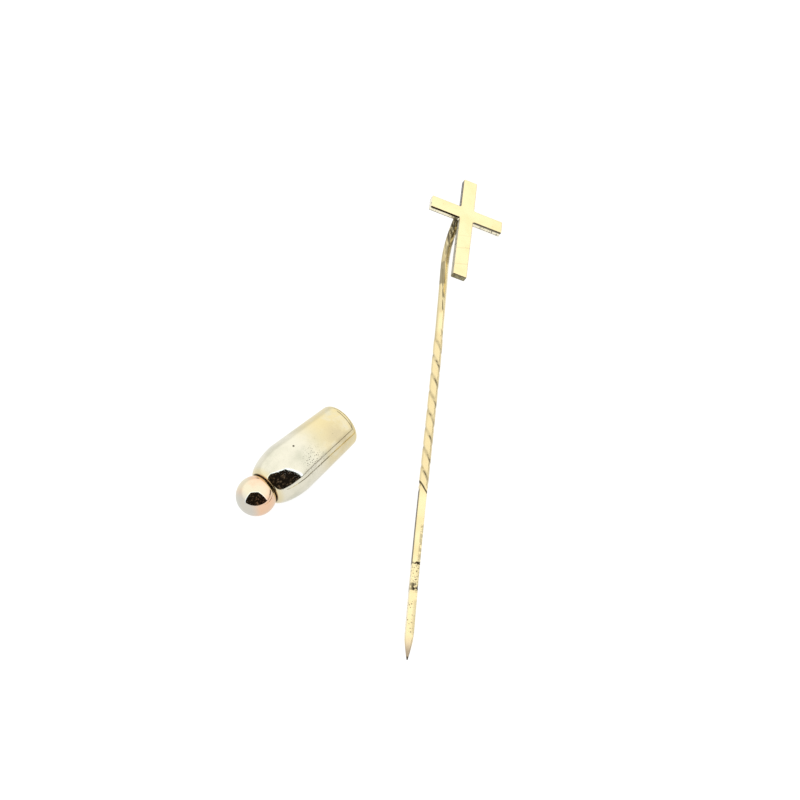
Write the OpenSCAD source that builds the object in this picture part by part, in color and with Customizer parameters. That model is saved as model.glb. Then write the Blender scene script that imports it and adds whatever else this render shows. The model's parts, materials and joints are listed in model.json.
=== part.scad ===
// Cross stick pin with its loose barrel clutch, in millimetres.
// The pin lies on the plane z = 0 with its shank along Y and its point towards -Y.
// The clutch lies beside it on the -X side. The origin is the bottom centre of the whole.

/* [Cross] */
// Length of the upright bar
cross_h = 12.6; // [11:0.1:14]
// Length of the crossbar
cross_w = 8; // [7:0.1:9]
// Width of both bars
bar_w = 1.5; // [1.4:0.05:1.7]
// Thickness of the plate
cross_t = 0.7; // [0.6:0.05:0.9]
// Share of the upright that stands above the crossing
rise_share = 0.356; // [0.3:0.001:0.45]
// Lean of the resting cross about the shank, in degrees
cross_roll = 24.5; // [22:0.5:28]
// Turn of the cross against the shank, in degrees
cross_turn = 1.3; // [0:0.1:3]

/* [Pin wire] */
// Diameter of the round wire
wire_d = 0.81; // [0.74:0.01:0.86]
// Side of the square wire
square_side = 0.73; // [0.66:0.005:0.74]
// Roll of the square wire about its own axis, in degrees
square_roll = 12; // [0:1:45]
// Length of the point
point_len = 2.8; // [2:0.1:4]
// Distance from the tip to the start of the twist
square_len = 17.55; // [14:0.05:20]
// Length of the twisted stretch
twist_len = 17.7; // [14:0.1:20]
// Full turns in the twisted stretch
twist_turns = 4.1; // [3:0.1:5]
// Width across the corners of the twisted stretch, rubbed round
twist_d = 0.89; // [0.84:0.01:0.96]
// Distance from the tip to the start of the bend
shank_len = 44.6; // [42:0.05:48]
// Radius of the bend behind the cross
bend_r = 8; // [6:0.5:10]
// Lean of the bend from upright, in degrees
bend_lean = 33; // [28:1:38]
// Distance from the crossing's centre to the wire's end, along the crossbar
joint_offset = 0.68; // [0.5:0.02:0.8]

/* [Clutch shell] */
// Diameter of the ball knob
knob_d = 3.74; // [3.6:0.02:3.8]
// Largest diameter of the barrel
barrel_d = 5.24; // [5.2:0.02:5.4]
// Diameter of the barrel where its nose starts to round
nose_d = 4.4; // [4.34:0.02:4.5]
// Distance from the knob's centre to the nose's face
barrel_end = 11.42; // [11.4:0.02:11.8]
// Radius of the rounded nose
nose_round = 0.57; // [0.5:0.01:0.7]
// Thickness of the shell's wall
wall = 0.3; // [0.25:0.01:0.32]

/* [Clutch works] */
// Diameter of the guide bore for the pin
guide_d = 1.1; // [1.05:0.01:1.14]
// Diameter of one locking ball
lock_d = 0.9; // [0.8:0.02:0.92]
// Half angle of the locking cone, in degrees
cone_angle = 14; // [13:0.5:15]
// Outer diameter of the plunger's stem
stem_d = 1.7; // [1.6:0.01:1.72]
// Diameter of the spring's wire
spring_wire = 0.28; // [0.24:0.01:0.28]
// Turns of the spring
spring_turns = 9; // [7:1:10]

/* [Layout] */
// Knob centre across the shank
knob_x = -14.95; // [-17:0.01:-14.5]
// Knob centre along the shank, from the pin's tip
knob_y = 14; // [12:0.01:16]
// Angle of the clutch's axis from the shank, in degrees
clutch_turn = 36.9; // [30:0.1:45]

/* [Hidden] */
$fn = 64;
gap = 0.01;
big = 40;

yellow_gold = "#ecd27c";
pale_gold = "#e3d3a4";
rose_gold = "#e8b48e";
solder = "#cdbf8f";
brass = "#b98f45";
steel = "#b8bcc2";

// Pin: the wire rises from the table to the cross's back, whose right arm rests on the table
wire_r = wire_d / 2;
corner_r = square_side / sqrt(2);
cross_z = cross_w / 2 * sin(cross_roll) + cross_t * cos(cross_roll);
joint_z = cross_z - cross_t * cos(cross_roll) + joint_offset * sin(cross_roll);
bend_rise = (joint_z - wire_r) / cos(bend_lean);
bend_angle = acos(1 - bend_rise / bend_r);
joint_x = bend_rise * sin(bend_lean);
joint_y = shank_len + bend_r * sin(bend_angle);
cross_x = joint_x + cross_t * sin(cross_roll) + joint_offset * cos(cross_roll);
joint_drop = 0.14;
cross_y = joint_y + joint_drop;
twist_fade = 0.6;
twist_slices = 104;
twist_side_steps = 8;
bend_overrun = 8;
tip_r = 0.03;
solder_h = 0.4;
solder_top_r = 0.48;
solder_foot_r = 0.74;
solder_drop = 0.05;

// Clutch: distances are along its axis from the knob's centre towards the nose
knob_r = knob_d / 2;
barrel_r = barrel_d / 2;
nose_r = nose_d / 2;
belly = 4.37;
seat = 1.15;
seat_r = 1.53;
shoulder_power = 1.83;
taper_end = barrel_end - nose_round;
lie = atan((barrel_r - nose_r) / (taper_end - belly));
knob_z = barrel_r * cos(lie) + belly * sin(lie);

nose_wall = 0.35;
bush_r = 0.8;
flange_r = 1.15;
flange_t = 0.3;
flange_front = barrel_end - nose_wall;
sleeve_front = flange_front - flange_t;
bush_back = sleeve_front - 0.5;
funnel = 0.25;
funnel_r = 0.72;
guide_r = guide_d / 2;

lock_r = lock_d / 2;
ball_gap = 0.02;
ball_reach = 0.27;
ball_path_r = ball_reach + lock_r;
cone_r = 0.95;
cone_front = sleeve_front - 0.35;
ball_s = cone_front - (ball_path_r + (lock_r + ball_gap) / cos(cone_angle) - cone_r) / tan(cone_angle);
bore_r = 1.6;
cone_back = cone_front - (bore_r - cone_r) / tan(cone_angle);

pocket_r = lock_r + ball_gap;
cage_r = 0.95;
cage_front = ball_s + 0.67;
cage_shoulder = ball_s - 0.63;
cage_back = cage_shoulder - 0.45;
cage_flange_r = 1.3;
cage_bore_r = 0.71;

stem_r = stem_d / 2;
stem_bore_r = 0.58;
stem_front = cage_shoulder - 0.05;
stem_back = -0.5;
pin_room = -1.1;
collar_front = 3.42;
collar_back = 1.95;
washer_front = 3.7;
washer_r = 2.1;
washer_gap = 0.07;
collar_back_r = 1.8;
collar_front_r = 2.2;
run_gap = 0.05;
sleeve_r = nose_r - wall - gap;
sleeve_slope = (barrel_r - nose_r) / (taper_end - belly);
sleeve_ease = 0.12;
sleeve_chamfer = 0.3;
ball_count = 3;

spring_back = washer_front + gap;
spring_front = cage_back - gap;
spring_r = stem_r + 0.08 + spring_wire / 2;
spring_sides = 6;
spring_steps = 16;
closed_pitch = spring_wire * 1.08;
wire_facet_r = spring_wire / 2;

// Box of the whole, so that the origin can stand under its middle
box_left = knob_x - knob_r;
box_right = cross_x + cross_w / 2 * cos(cross_roll) * cos(cross_turn) + bar_w / 2 * sin(cross_turn);
top_reach = rise_share * cross_h * cos(cross_turn);
box_far = cross_y + top_reach + bar_w / 2 * cos(cross_roll) * sin(cross_turn);
mid_x = (box_left + box_right) / 2;
mid_y = box_far / 2;

// Places the tip of the lying shank, with the shank along +Y
module on_table() {
    translate([-mid_x, -mid_y, 0]) children();
}

// Along the shank: local +Z runs from the tip to the bend, at the wire's centre
module on_shank() {
    on_table() translate([0, 0, wire_r]) rotate([-90, 0, 0]) children();
}

// On the cross: local X along the crossbar, Y up the upright, Z out of the front face
module on_cross() {
    on_table() translate([cross_x, cross_y, cross_z]) rotate([0, cross_roll, -cross_turn]) children();
}

// In the clutch: local +Z runs from the knob's centre to the nose
module on_clutch() {
    on_table() translate([knob_x, knob_y, knob_z]) rotate([-90 - lie, 0, -clutch_turn]) children();
}

// A ring between two stations of the clutch's axis
module ring(r_out, r_in, back, front) {
    translate([0, 0, back]) difference() {
        cylinder(r = r_out, h = front - back);
        translate([0, 0, -1]) cylinder(r = r_in, h = front - back + 2);
    }
}

// Outline of the flat cross, from its crossing's centre
module cross_outline() {
    square([cross_w, bar_w], center = true);
    translate([-bar_w / 2, -cross_h * (1 - rise_share)]) square([bar_w, cross_h]);
}

module cross() {
    color(yellow_gold) on_cross()
        translate([0, 0, -cross_t]) linear_extrude(cross_t) cross_outline();
}

// Everything beyond the cross's back face
module beyond_back() {
    on_cross() translate([-big / 2, -big / 2, -cross_t]) cube(big);
}

// The arc of wire that lifts it off the table
module bend() {
    translate([0, 0, shank_len]) rotate([0, 0, bend_lean])
        translate([0, -bend_r, 0]) rotate([90, 0, 90])
            rotate_extrude(angle = bend_angle + bend_overrun) translate([bend_r, 0]) circle(r = wire_r);
}

// Square wire drawn down to a point
module square_part() {
    intersection() {
        rotate([0, 0, square_roll]) translate([-square_side / 2, -square_side / 2, 0])
            cube([square_side, square_side, square_len + gap]);
        union() {
            cylinder(r1 = tip_r, r2 = corner_r + gap, h = point_len);
            translate([0, 0, point_len]) cylinder(r = corner_r + gap, h = square_len);
        }
    }
}

// Square wire twisted about its own axis, with its corners fading into the round wire
module twisted_part() {
    intersection() {
        translate([0, 0, square_len]) rotate([0, 0, square_roll])
            linear_extrude(twist_len, twist = 360 * twist_turns, slices = twist_slices,
                segments = twist_side_steps)
                square(square_side, center = true);
        union() {
            translate([0, 0, square_len - 1]) cylinder(d = twist_d, h = twist_len + 1 - twist_fade);
            translate([0, 0, square_len + twist_len - twist_fade])
                cylinder(r1 = twist_d / 2, r2 = wire_r - gap, h = twist_fade);
        }
    }
}

module pin_wire() {
    color(yellow_gold) difference() {
        on_shank() {
            square_part();
            twisted_part();
            translate([0, 0, square_len + twist_len - twist_fade])
                cylinder(r = wire_r, h = shank_len - square_len - twist_len + twist_fade);
            bend();
        }
        beyond_back();
    }
}

// A low mound of solder where the wire meets the cross's back
module solder_joint() {
    color(solder) difference() {
        on_cross() translate([-joint_offset, -solder_drop, -cross_t - solder_h])
            cylinder(r1 = solder_top_r, r2 = solder_foot_r, h = solder_h);
        on_shank() {
            translate([0, 0, shank_len - 1]) cylinder(r = wire_r, h = 1);
            bend();
        }
    }
}

// Shoulder of the barrel: a superellipse quarter from the knob's seat to the belly
function shoulder(inset) = [
    for (i = [0:14])
        let (a = 90 * i / 14, along = pow(cos(a), 2 / shoulder_power), out = pow(sin(a), 2 / shoulder_power))
            [seat_r + (barrel_r - inset - seat_r) * out, belly - (belly - seat - inset) * along]
];

// Nose of the barrel: a flat face with a rounded edge
module nose_outline(inset, end) {
    round_r = end - taper_end;
    flat_r = nose_r - inset - round_r;
    translate([0, taper_end]) square([flat_r, round_r]);
    intersection() {
        translate([flat_r, taper_end]) circle(r = round_r);
        translate([0, taper_end]) square([flat_r + round_r, round_r]);
    }
}

// Outer outline of the shell, or its inner one when inset by the wall
module barrel_outline(inset, end) {
    polygon(concat([[0, seat + inset]], shoulder(inset), [[nose_r - inset, taper_end], [0, taper_end]]));
    nose_outline(inset, end);
}

module barrel_shell() {
    color(pale_gold) on_clutch() rotate_extrude() difference() {
        barrel_outline(0, barrel_end);
        barrel_outline(wall, barrel_end - nose_wall);
        square([seat_r, seat + 1]);
        translate([0, taper_end]) square([bush_r + gap, big]);
    }
}

// Flanged bush that guides the pin through the nose
module mouth_bush() {
    color(pale_gold) on_clutch() difference() {
        union() {
            ring(bush_r, guide_r, bush_back, barrel_end);
            ring(flange_r, guide_r, sleeve_front, flange_front);
        }
        translate([0, 0, barrel_end - funnel]) cylinder(r1 = guide_r, r2 = funnel_r, h = funnel);
    }
}

// Hardened sleeve with the cone that wedges the locking balls
module cone_sleeve() {
    edge = sleeve_front - sleeve_chamfer;
    back_r = sleeve_r + (taper_end - washer_front) * sleeve_slope - sleeve_ease;
    edge_r = sleeve_r + (taper_end - edge) * sleeve_slope - gap;
    color(brass) on_clutch() difference() {
        union() {
            translate([0, 0, washer_front]) cylinder(r1 = back_r, r2 = edge_r, h = edge - washer_front);
            translate([0, 0, edge]) cylinder(r1 = edge_r, r2 = edge_r - sleeve_chamfer, h = sleeve_chamfer);
        }
        translate([0, 0, washer_front - 1]) cylinder(r = bore_r, h = cone_back - washer_front + 1);
        translate([0, 0, cone_back]) cylinder(r1 = bore_r, r2 = cone_r, h = cone_front - cone_back);
        translate([0, 0, cone_front]) cylinder(r = cone_r, h = 2);
    }
}

module spring_washer() {
    color(brass) on_clutch() ring(washer_r, stem_r + washer_gap, collar_front, washer_front);
}

// Collar under the spun edge of the shell, which guides the stem
module end_collar() {
    color(brass) on_clutch() difference() {
        translate([0, 0, collar_back])
            cylinder(r1 = collar_back_r, r2 = collar_front_r, h = collar_front - collar_back);
        cylinder(r = stem_r + run_gap, h = belly);
    }
}

// Height of the spring's wire centre after t turns: closed end turns, open ones between
function spring_z(t) =
    let (span = spring_front - spring_back - spring_wire,
         pitch = (span - 2 * closed_pitch) / (spring_turns - 2))
    t < 1 ? closed_pitch * t
    : t > spring_turns - 1 ? span - closed_pitch * (spring_turns - t)
    : closed_pitch + pitch * (t - 1);

spring_rings = spring_turns * spring_steps;
spring_points = [
    for (i = [0:spring_rings], k = [0:spring_sides - 1])
        let (t = i / spring_steps, a = 360 * k / spring_sides, r = spring_r + wire_facet_r * cos(a))
            [r * cos(360 * t), r * sin(360 * t),
             spring_back + spring_wire / 2 + spring_z(t) + wire_facet_r * sin(a)]
];
spring_faces = concat(
    [[for (k = [0:spring_sides - 1]) k]],
    [for (i = [0:spring_rings - 1], k = [0:spring_sides - 1])
        let (a = i * spring_sides + k, b = i * spring_sides + (k + 1) % spring_sides)
            [a, a + spring_sides, b + spring_sides, b]],
    [[for (k = [spring_sides - 1:-1:0]) spring_rings * spring_sides + k]]
);

module coil_spring() {
    color(steel) on_clutch() polyhedron(spring_points, spring_faces, convexity = 10);
}

// Cage that carries the locking balls in three pockets
module ball_cage() {
    color(brass) on_clutch() difference() {
        union() {
            ring(cage_r, cage_bore_r, cage_back, cage_front);
            ring(cage_flange_r, cage_bore_r, cage_back, cage_shoulder);
        }
        translate([0, 0, cage_back - 1]) cylinder(r = stem_r, h = stem_front - cage_back + 1);
        for (i = [0:ball_count - 1])
            translate([0, 0, ball_s]) rotate([0, 0, 360 * i / ball_count]) rotate([0, 90, 0])
                cylinder(r = pocket_r, h = 2);
    }
}

module plunger_stem() {
    color(pale_gold) on_clutch() ring(stem_r, stem_bore_r, stem_back, stem_front);
}

// Ball that is pulled to free the pin, hollow where the stem and the pin's tip go in
module ball_knob() {
    color(rose_gold) on_clutch() difference() {
        sphere(r = knob_r);
        translate([0, 0, stem_back]) cylinder(r = stem_r, h = knob_d);
        translate([0, 0, pin_room]) cylinder(r = stem_bore_r, h = knob_d);
    }
}

// One locking ball, number 1, 2 or 3
module locking_ball(number) {
    color(steel) on_clutch() rotate([0, 0, 360 * (number - 1) / ball_count])
        translate([ball_path_r, 0, ball_s]) sphere(r = lock_r);
}

cross();
solder_joint();
pin_wire();
barrel_shell();
mouth_bush();
cone_sleeve();
spring_washer();
end_collar();
coil_spring();
ball_cage();
plunger_stem();
ball_knob();
locking_ball(1);  // locking_ball_1
locking_ball(2);  // locking_ball_2
locking_ball(3);  // locking_ball_3
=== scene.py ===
"""Gold cross stick pin with its loose barrel clutch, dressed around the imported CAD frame.

Lengths are in millimetres until a mesh is made, and in metres after that.
"""

import json
import math

import bmesh
import bpy
import numpy as np
from mathutils import Matrix, Vector


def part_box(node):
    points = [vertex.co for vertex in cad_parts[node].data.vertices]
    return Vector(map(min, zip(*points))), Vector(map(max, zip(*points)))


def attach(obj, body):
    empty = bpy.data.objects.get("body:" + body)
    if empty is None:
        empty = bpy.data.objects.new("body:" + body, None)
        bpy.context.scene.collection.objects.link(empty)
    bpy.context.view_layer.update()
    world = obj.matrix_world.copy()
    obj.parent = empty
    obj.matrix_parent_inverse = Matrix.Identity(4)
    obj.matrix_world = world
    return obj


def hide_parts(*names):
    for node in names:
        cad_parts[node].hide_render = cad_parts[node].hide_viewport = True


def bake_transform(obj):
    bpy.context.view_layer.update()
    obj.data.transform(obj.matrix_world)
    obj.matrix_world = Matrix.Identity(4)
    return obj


MM = 0.001
UP = Vector((0, 0, 1))

# Cross
CROSS_EDGE = 0.1
CROSS_CORNER = 0.12

# Pin wire, as distances from the tip along the shank
WIRE_R = 0.405
SQUARE_HALF = 0.365
SQUARE_EDGE = 0.06
SQUARE_ROLL = -12.0
POINT_LEN = 2.8
TIP_R = 0.03
TWIST_START = 17.55
TWIST_LEN = 17.7
TWIST_TURNS = 4.1
TWIST_FADE = 0.6
TWIST_R = 0.445
SHANK_LEN = 44.6
BEND_R = 8.0
BEND_LEAN = 33.0
BEND_TURN = 46.0
BEND_STEPS = 40
SWAY = 0.07
SWAY_SIDE = 0.02
SWAY_START = 1.0
SWAY_LEN = 46.0

# The twist's two creases: angle of one at the twist's start in degrees, depth, half width in
# radians, and the slope of the line across the wire where the twist starts
CREASE_AT = 133.0
CREASE_DEPTH = 0.05
CREASE_HALF = 0.6
FIRST_SLOPE = 1.5

# Solder mound: radius at the cross, how much narrower it gets, how deep it sinks into the cross
SOLDER_R = 0.76
SOLDER_NARROWS = 0.30
SOLDER_SINK = 0.03

# Clutch, as distances along its axis from the knob's centre
SEAT = 1.15
SEAT_R = 1.53
BELLY = 4.37
BARREL_R = 2.62
SHOULDER_POWER = 1.83
TAPER_END = 10.85
NOSE_R = 2.2
NOSE_END = 11.42
WALL = 0.3
NOSE_WALL = 0.35
BUSH_R = 0.8
GUIDE_R = 0.55
FUNNEL_R = 0.72
FUNNEL = 0.25
FLANGE_R = 1.15
FLANGE_T = 0.3
BUSH_BACK = 10.27
STEM_R = 0.85
STEM_BORE_R = 0.58
STEM_BACK = -0.5
STEM_FRONT = 8.72
PIN_ROOM = -1.1
SPRING_R = 1.07
SPRING_WIRE = 0.28
SPRING_TURNS = 9
SPRING_BACK = 3.71
SPRING_FRONT = 8.3

# Camera
TARGET = Vector((2.576, 0.568, 0.0)) * MM
CAMERA_DISTANCE = 169.5 * MM
CAMERA_ELEVATION = 55.04
CAMERA_AZIMUTH = 5.05
LENS = 79.245
SENSOR = 36.0


def smooth(value, low, high):
    """0 below low, 1 above high, and an even curve between them."""
    t = np.clip((np.asarray(value, float) - low) / (high - low), 0, 1)
    return t * t * (3 - 2 * t)


# ---------------------------------------------------------------- meshes


def new_piece(name, verts, faces, place):
    """A mesh object from points in millimetres, with outward normals and smooth shading."""
    mesh = bpy.data.meshes.new(name)
    mesh.from_pydata([tuple(float(c) * MM for c in v) for v in verts], [], faces)
    bm = bmesh.new()
    bm.from_mesh(mesh)
    bmesh.ops.remove_doubles(bm, verts=bm.verts, dist=1e-8)
    bmesh.ops.dissolve_degenerate(bm, edges=bm.edges, dist=1e-8)
    bmesh.ops.recalc_face_normals(bm, faces=bm.faces)
    bm.to_mesh(mesh)
    bm.free()
    obj = bpy.data.objects.new(name, mesh)
    bpy.context.scene.collection.objects.link(obj)
    obj.matrix_world = place
    shade(mesh)
    return obj


def shade(mesh, sharp_angle=35):
    """Smooth shading that keeps edges over the angle, in degrees, sharp."""
    mesh.shade_smooth()
    mesh.set_sharp_from_angle(angle=math.radians(sharp_angle))


def placed(origin, x_axis, y_axis, z_axis):
    """The matrix that puts local axes at an origin, which is in metres."""
    basis = Matrix((x_axis, y_axis, z_axis)).transposed().to_4x4()
    return Matrix.Translation(origin) @ basis


def filleted(points, steps=5):
    """A closed outline of (along, out, radius) corners, each rounded by its radius."""
    rounded = []
    count = len(points)
    for i, (s, r, radius) in enumerate(points):
        here = Vector((s, r))
        before = Vector(points[i - 1][:2]) - here
        after = Vector(points[(i + 1) % count][:2]) - here
        if radius <= 0 or before.length == 0 or after.length == 0:
            rounded.append((s, r))
            continue
        angle = before.angle(after)
        reach = min(radius / math.tan(angle / 2), 0.49 * before.length, 0.49 * after.length)
        start = here + before.normalized() * reach
        end = here + after.normalized() * reach
        for k in range(steps + 1):
            t = k / steps
            rounded.append(tuple((1 - t) ** 2 * start + 2 * t * (1 - t) * here + t * t * end))
    return rounded


def revolved(name, outline, place, sides=96):
    """A closed outline of (along, out) points turned about the local Z axis."""
    verts, faces, count = [], [], len(outline)
    for k in range(sides):
        angle = 2 * math.pi * k / sides
        verts += [(r * math.cos(angle), r * math.sin(angle), s) for s, r in outline]
    for k in range(sides):
        here, there = k * count, (k + 1) % sides * count
        for i in range(count):
            j = (i + 1) % count
            if outline[i][1] > 0 or outline[j][1] > 0:
                faces.append((here + i, here + j, there + j, there + i))
    return new_piece(name, verts, faces, place)


def swept(name, rings, place):
    """A skin over rings of points, closed by a fan at each end."""
    verts = [tuple(p) for ring in rings for p in ring]
    n = len(rings[0])
    faces = []
    for i in range(len(rings) - 1):
        a, b = i * n, (i + 1) * n
        faces += [(a + k, a + (k + 1) % n, b + (k + 1) % n, b + k) for k in range(n)]
    for ring, first in ((rings[0], 0), (rings[-1], (len(rings) - 1) * n)):
        verts.append(tuple(np.mean(ring, axis=0)))
        faces += [(first + k, first + (k + 1) % n, len(verts) - 1) for k in range(n)]
    return new_piece(name, verts, faces, place)


# ---------------------------------------------------------------- places, read from the frame


def mount(name):
    """A mount's point and its unit axis."""
    found = next(m for m in frame["record"]["mounts"] if m["name"] == name)
    return Vector(found["pos_m"]), Vector(found["axis"]).normalized()


def points_of(node):
    """A CAD node's vertices, in metres."""
    return np.array([v.co[:] for v in frame["nodes"][node].data.vertices])


def clutch_place():
    """The clutch's own axes: Z along its axis to the nose, from the knob's centre."""
    low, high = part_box("ball_knob")
    axis = mount("clutch_mouth")[1]
    side = UP.cross(axis).normalized()
    return placed((low + high) / 2, side, axis.cross(side), axis)


def cross_axes():
    """Unit vectors along the crossbar, up the upright and out of the front face."""
    front = -mount("cross_back")[1]
    upright = UP.cross(front).normalized()
    return upright.cross(front), upright, front


def cross_sizes():
    """The crossing's centre on the front face in metres, and the cross's sizes in millimetres."""
    bar, upright, front = cross_axes()
    points = points_of("cross")
    x, y, z = (points @ np.array(axis) for axis in (bar, upright, front))
    arm = x > x.max() - 1e-5
    foot = y < y.min() + 1e-5
    centre_y = (y[arm].min() + y[arm].max()) / 2
    centre_x = (x.min() + x.max()) / 2
    centre = bar * centre_x + upright * centre_y + front * z.max()
    sizes = {
        "half_span": (x.max() - x.min()) / 2,
        "half_arm": (y[arm].max() - y[arm].min()) / 2,
        "half_bar": (x[foot].max() - x[foot].min()) / 2,
        "rise": y.max() - centre_y,
        "drop": centre_y - y.min(),
        "thick": z.max() - z.min(),
    }
    return centre, {key: value / MM for key, value in sizes.items()}


# ---------------------------------------------------------------- node helpers


def put(tree, kind, inputs=None, **settings):
    """Adds a shader node; an input may be a value or another node's output."""
    node = tree.nodes.new(kind)
    for key, value in settings.items():
        setattr(node, key, value)
    for key, value in (inputs or {}).items():
        if isinstance(value, bpy.types.NodeSocket):
            tree.links.new(value, node.inputs[key])
        else:
            node.inputs[key].default_value = value
    return node


def math_node(tree, operation, first, second=0.5, clamp=False):
    """One step of arithmetic on two values."""
    node = put(tree, "ShaderNodeMath", {0: first, 1: second}, operation=operation)
    node.use_clamp = clamp
    return node.outputs[0]


def ramp(tree, value, low, high, out_low=0.0, out_high=1.0):
    """Maps low..high smoothly to out_low..out_high."""
    node = put(
        tree,
        "ShaderNodeMapRange",
        {"Value": value, "From Min": low, "From Max": high, "To Min": out_low, "To Max": out_high},
        interpolation_type="SMOOTHSTEP",
    )
    return node.outputs["Result"]


def fading(tree, value, low, high, start=1.0):
    """Falls smoothly from start at low to 0 at high."""
    return ramp(tree, value, low, high, start, 0.0)


def blended(tree, factor, first, second):
    """A colour between two colours."""
    node = put(tree, "ShaderNodeMix", data_type="RGBA")
    # The node's colour sockets share their names with its other types', so they go by number
    for number, value in ((0, factor), (6, first), (7, second)):
        socket = node.inputs[number]
        if isinstance(value, bpy.types.NodeSocket):
            tree.links.new(value, socket)
        else:
            socket.default_value = value if isinstance(value, float) else (*value, 1.0)
    return node.outputs[2]


def coordinates(tree, stretch=(1, 1, 1)):
    """Object coordinates in millimetres, divided along each axis by its stretch."""
    coords = put(tree, "ShaderNodeTexCoord").outputs["Object"]
    scale = tuple(1 / MM / s for s in stretch)
    return put(tree, "ShaderNodeMapping", {"Vector": coords, "Scale": scale}).outputs[0]


def split(tree, coords):
    """The X, Y and Z outputs of coordinates."""
    return put(tree, "ShaderNodeSeparateXYZ", {"Vector": coords}).outputs


def spot(tree, coords, middle, inner, outer):
    """1 within the inner distance of a point, fading to 0 at the outer one."""
    inputs = {0: coords, 1: middle}
    away = put(tree, "ShaderNodeVectorMath", inputs, operation="DISTANCE").outputs["Value"]
    return fading(tree, away, inner, outer)


def times(tree, first, *others):
    """The product of several values."""
    for other in others:
        first = math_node(tree, "MULTIPLY", first, other)
    return first


def most(tree, first, *others):
    """The largest of several values."""
    for other in others:
        first = math_node(tree, "MAXIMUM", first, other)
    return first


def noise(tree, coords, scale, detail=4.0, roughness=0.55):
    """Soft random values around 0.5."""
    node = put(
        tree,
        "ShaderNodeTexNoise",
        {"Vector": coords, "Scale": scale, "Detail": detail, "Roughness": roughness},
    )
    return node.outputs["Fac"]


def pits(tree, coords, scale, size):
    """1 inside small round spots, 0 between them."""
    cells = put(tree, "ShaderNodeTexVoronoi", {"Vector": coords, "Scale": scale, "Randomness": 1.0})
    return fading(tree, cells.outputs["Distance"], size * 0.5, size)


def zone(tree, value, start, end, fade):
    """1 between start and end, fading to 0 on both sides."""
    rise = ramp(tree, value, start - fade, start)
    return times(tree, rise, fading(tree, value, end, end + fade))


def new_material(name):
    """A new metal with a shader and an output only, its node tree and its shader."""
    material = bpy.data.materials.new(name)
    material.use_nodes = True
    tree = material.node_tree
    tree.nodes.clear()
    shader = put(tree, "ShaderNodeBsdfPrincipled", {"Metallic": 1.0, "IOR": 1.45})
    out = put(tree, "ShaderNodeOutputMaterial")
    tree.links.new(shader.outputs[0], out.inputs["Surface"])
    return material, tree, shader


def bumped(tree, height, strength, distance, under=None):
    """A normal from a height in millimetres."""
    inputs = {"Height": height, "Strength": strength, "Distance": distance * MM}
    if under is not None:
        inputs["Normal"] = under
    return put(tree, "ShaderNodeBump", inputs).outputs["Normal"]


# ---------------------------------------------------------------- materials

YELLOW = (0.94, 0.81, 0.475)
YELLOW_DEEP = (0.90, 0.76, 0.42)
FILED = (0.97, 0.90, 0.68)
SOLE = (0.34, 0.31, 0.18)
WIRE_GOLD = (0.92, 0.79, 0.465)
WIRE_DEEP = (0.86, 0.71, 0.39)
WIRE_WARM = (0.78, 0.64, 0.36)
POINT_PINK = (0.66, 0.52, 0.37)
PALE = (0.79, 0.755, 0.62)
PALE_GREY = (0.64, 0.625, 0.50)
NOSE_GOLD = (0.77, 0.655, 0.37)
# Brown of a patch of painted shade on the barrel
PATCH_SHADE_BROWN = (0.58, 0.50, 0.34)
ROSE = (0.80, 0.73, 0.545)
ROSE_DEEP = (0.86, 0.57, 0.385)
ROSE_WORN = (0.61, 0.62, 0.565)
# Dark colour of tarnish, also used for painted shade
DARK_TARNISH_AND_SHADE = (0.045, 0.033, 0.017)
MOSS = (0.20, 0.19, 0.10)
BRASS = (0.78, 0.60, 0.30)
STEEL = (0.62, 0.62, 0.63)
STEEL_DEEP = (0.5, 0.5, 0.52)
SOLDER = (0.80, 0.72, 0.50)
SOLDER_DEEP = (0.52, 0.42, 0.26)


def polished(name, tone, deep, roughness=0.09, grain=(1, 1, 1), tarnish_and_shade=None, tint=None):
    """Polished metal: cloudy tone, hairline scratches, fine pits and a little unevenness.

    The tarnish and shade function takes the tree and the coordinates, and gives how much dark
    tarnish and painted shade there is.
    tint takes the colour as well, and gives a changed colour.
    """
    material, tree, shader = new_material(name)
    coords = coordinates(tree)
    cloud = noise(tree, coords, 0.45, 3.0)
    colour = blended(tree, ramp(tree, cloud, 0.4, 0.7), tone, deep)
    if tint is not None:
        colour = tint(tree, coords, colour)
    hair = noise(tree, coordinates(tree, grain), 9.0, 6.0, 0.7)
    scratch = ramp(tree, hair, 0.62, 0.72)
    spots = times(tree, pits(tree, coords, 2.2, 0.1), ramp(tree, cloud, 0.5, 0.6), 0.5)
    dark = spots if tarnish_and_shade is None else most(tree, spots, tarnish_and_shade(tree, coords))
    # Pits, tarnish and painted shade all darken towards that one dark colour
    tree.links.new(blended(tree, dark, colour, DARK_TARNISH_AND_SHADE), shader.inputs["Base Color"])
    fine = noise(tree, coords, 14.0, 5.0)
    rough = ramp(tree, fine, 0.3, 0.8, roughness * 0.8, roughness * 1.7)
    rough = math_node(tree, "ADD", rough, times(tree, scratch, 0.08))
    rough = math_node(tree, "ADD", rough, times(tree, dark, 0.35), clamp=True)
    tree.links.new(rough, shader.inputs["Roughness"])
    waves = bumped(tree, noise(tree, coords, 0.9, 2.0), 0.35, 0.012)
    lines = bumped(tree, scratch, 0.25, 0.0015, waves)
    holes = bumped(tree, math_node(tree, "SUBTRACT", 1.0, dark), 0.5, 0.02, lines)
    tree.links.new(holes, shader.inputs["Normal"])
    return material


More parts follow.
